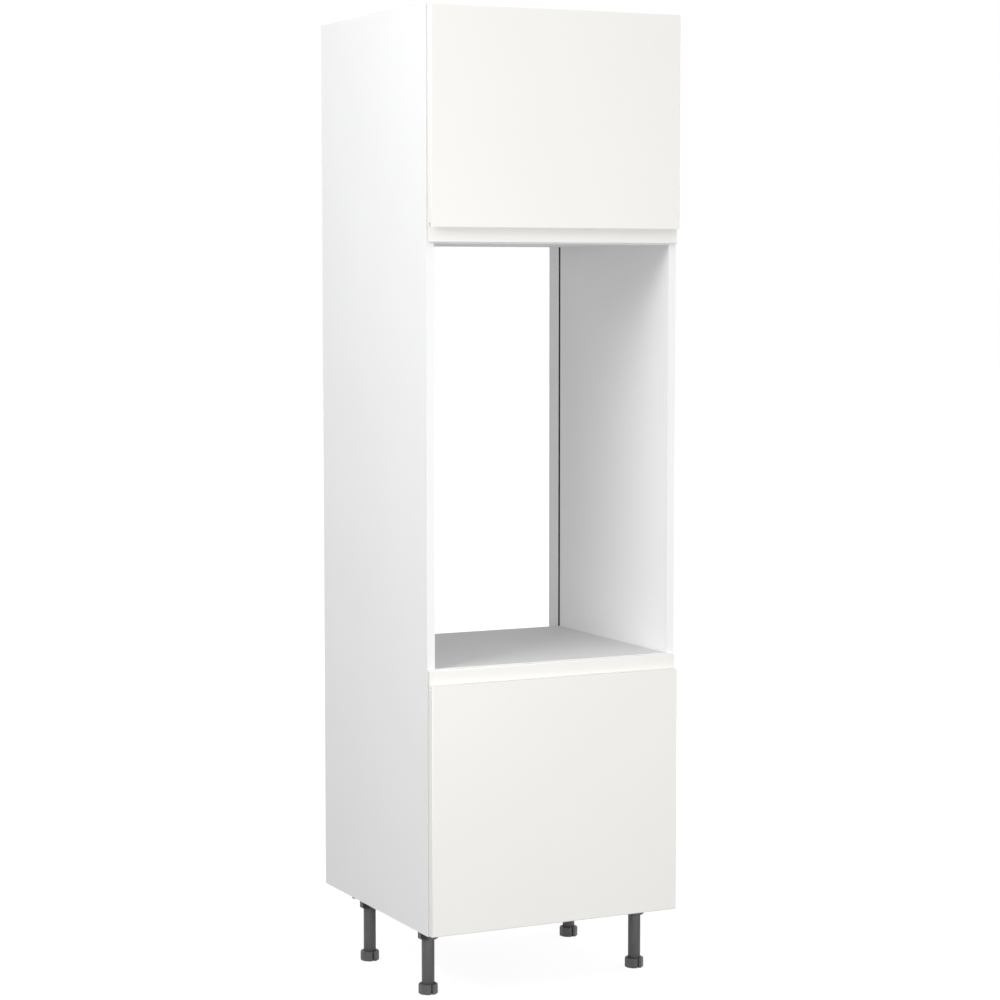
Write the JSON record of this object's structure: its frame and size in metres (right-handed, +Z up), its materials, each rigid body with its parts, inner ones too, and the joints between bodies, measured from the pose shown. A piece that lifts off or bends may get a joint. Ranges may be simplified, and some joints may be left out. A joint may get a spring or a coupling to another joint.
{
  "type": "tall oven housing unit",
  "caption": "Tall white kitchen housing for a built-in double oven, with side-hung finger-pull doors above and below an open-backed oven space, on adjustable legs.",
  "frame": {"origin": "on the floor under the centre of the whole cabinet", "axes": "+Z up, +X to the right of someone facing the doors, +Y from the doors to the back"},
  "size_m": [0.6, 0.588, 2.12],
  "materials": {
    "white_board": "white melamine-faced chipboard, satin",
    "door_lacquer": "smooth white satin lacquer on fibreboard",
    "back_board": "white faced fibreboard",
    "edge_tape": "white edge tape",
    "dowel_wood": "plain beech",
    "buffer": "translucent soft buffer",
    "leg_plastic": "dark grey moulded plastic",
    "zinc_steel": "zinc-plated steel",
    "hinge_steel": "nickel-plated steel"
  },
  "bodies": {
    "carcass": {"left_side_panel": "white_board", "right_side_panel": "white_board", "top_panel": "white_board", "bottom_panel": "white_board", "oven_shelf": "white_board", "upper_deck": "white_board", "upper_back_panel": "back_board", "lower_back_panel": "back_board", "front_edge_tapes": "edge_tape", "carcass_dowels": "dowel_wood", "upper_adjustable_shelf": "white_board", "lower_adjustable_shelf": "white_board", "shelf_supports": "zinc_steel", "wall_brackets": "zinc_steel", "wall_bracket_screws": "zinc_steel", "upper_door_top_hinge_arm": "hinge_steel", "upper_door_bottom_hinge_arm": "hinge_steel", "lower_door_top_hinge_arm": "hinge_steel", "lower_door_bottom_hinge_arm": "hinge_steel", "upper_door_top_hinge_plate": "hinge_steel", "upper_door_bottom_hinge_plate": "hinge_steel", "lower_door_top_hinge_plate": "hinge_steel", "lower_door_bottom_hinge_plate": "hinge_steel", "hinge_arm_pins": "hinge_steel", "hinge_plate_screws": "hinge_steel", "hinge_adjusting_screws": "hinge_steel", "front_left_leg_socket": "leg_plastic", "front_right_leg_socket": "leg_plastic", "rear_left_leg_socket": "leg_plastic", "rear_right_leg_socket": "leg_plastic", "front_left_leg_tube": "leg_plastic", "front_right_leg_tube": "leg_plastic", "rear_left_leg_tube": "leg_plastic", "rear_right_leg_tube": "leg_plastic", "leg_screws": "zinc_steel"},
    "upper_door": {"upper_door": "door_lacquer", "upper_door_buffers": "buffer", "upper_door_top_hinge_cup": "hinge_steel", "upper_door_bottom_hinge_cup": "hinge_steel", "upper_door_cup_pins": "hinge_steel", "upper_door_cup_screws": "hinge_steel"},
    "upper_inner_links": {"upper_door_top_inner_link": "hinge_steel", "upper_door_bottom_inner_link": "hinge_steel"},
    "upper_outer_links": {"upper_door_top_outer_link": "hinge_steel", "upper_door_bottom_outer_link": "hinge_steel"},
    "lower_door": {"lower_door": "door_lacquer", "lower_door_buffers": "buffer", "lower_door_top_hinge_cup": "hinge_steel", "lower_door_bottom_hinge_cup": "hinge_steel", "lower_door_cup_pins": "hinge_steel", "lower_door_cup_screws": "hinge_steel"},
    "lower_inner_links": {"lower_door_top_inner_link": "hinge_steel", "lower_door_bottom_inner_link": "hinge_steel"},
    "lower_outer_links": {"lower_door_top_outer_link": "hinge_steel", "lower_door_bottom_outer_link": "hinge_steel"},
    "front_left_foot": {"front_left_foot": "leg_plastic"},
    "front_right_foot": {"front_right_foot": "leg_plastic"},
    "rear_left_foot": {"rear_left_foot": "leg_plastic"},
    "rear_right_foot": {"rear_right_foot": "leg_plastic"}
  },
  "joints": [
    {"name": "upper_inner_link_pivot", "type": "hinge", "parent": "carcass", "child": "upper_inner_links", "pos_m": [0.256, -0.244, 1.8715], "axis": [0, 0, 1], "range_deg": [-20, 0]},
    {"name": "upper_door_hinge", "type": "hinge", "parent": "upper_inner_links", "child": "upper_door", "pos_m": [0.289, -0.2802, 1.8715], "axis": [0, 0, 1], "range_deg": [0, 122]},
    {"name": "upper_outer_link_pivot", "type": "hinge", "parent": "carcass", "child": "upper_outer_links", "pos_m": [0.2553, -0.2717, 1.8715], "axis": [0, 0, 1], "range_deg": [-23, 0]},
    {"name": "lower_inner_link_pivot", "type": "hinge", "parent": "carcass", "child": "lower_inner_links", "pos_m": [0.256, -0.244, 0.4375], "axis": [0, 0, 1], "range_deg": [-20, 0]},
    {"name": "lower_door_hinge", "type": "hinge", "parent": "lower_inner_links", "child": "lower_door", "pos_m": [0.289, -0.2802, 0.4375], "axis": [0, 0, 1], "range_deg": [0, 122]},
    {"name": "lower_outer_link_pivot", "type": "hinge", "parent": "carcass", "child": "lower_outer_links", "pos_m": [0.2553, -0.2717, 0.4375], "axis": [0, 0, 1], "range_deg": [-23, 0]},
    {"name": "front_left_foot_adjuster", "type": "slide", "parent": "carcass", "child": "front_left_foot", "axis": [0, 0, -1], "range_m": [0, 0.03]},
    {"name": "front_right_foot_adjuster", "type": "slide", "parent": "carcass", "child": "front_right_foot", "axis": [0, 0, -1], "range_m": [0, 0.03]},
    {"name": "rear_left_foot_adjuster", "type": "slide", "parent": "carcass", "child": "rear_left_foot", "axis": [0, 0, -1], "range_m": [0, 0.03]},
    {"name": "rear_right_foot_adjuster", "type": "slide", "parent": "carcass", "child": "rear_right_foot", "axis": [0, 0, -1], "range_m": [0, 0.03]}
  ],
  "couplings": [
    {"joint": "upper_inner_link_pivot", "follows": "upper_door_hinge", "ratio": -0.157},
    {"joint": "upper_outer_link_pivot", "follows": "upper_door_hinge", "ratio": -0.183},
    {"joint": "lower_inner_link_pivot", "follows": "lower_door_hinge", "ratio": -0.157},
    {"joint": "lower_outer_link_pivot", "follows": "lower_door_hinge", "ratio": -0.183}
  ]
}
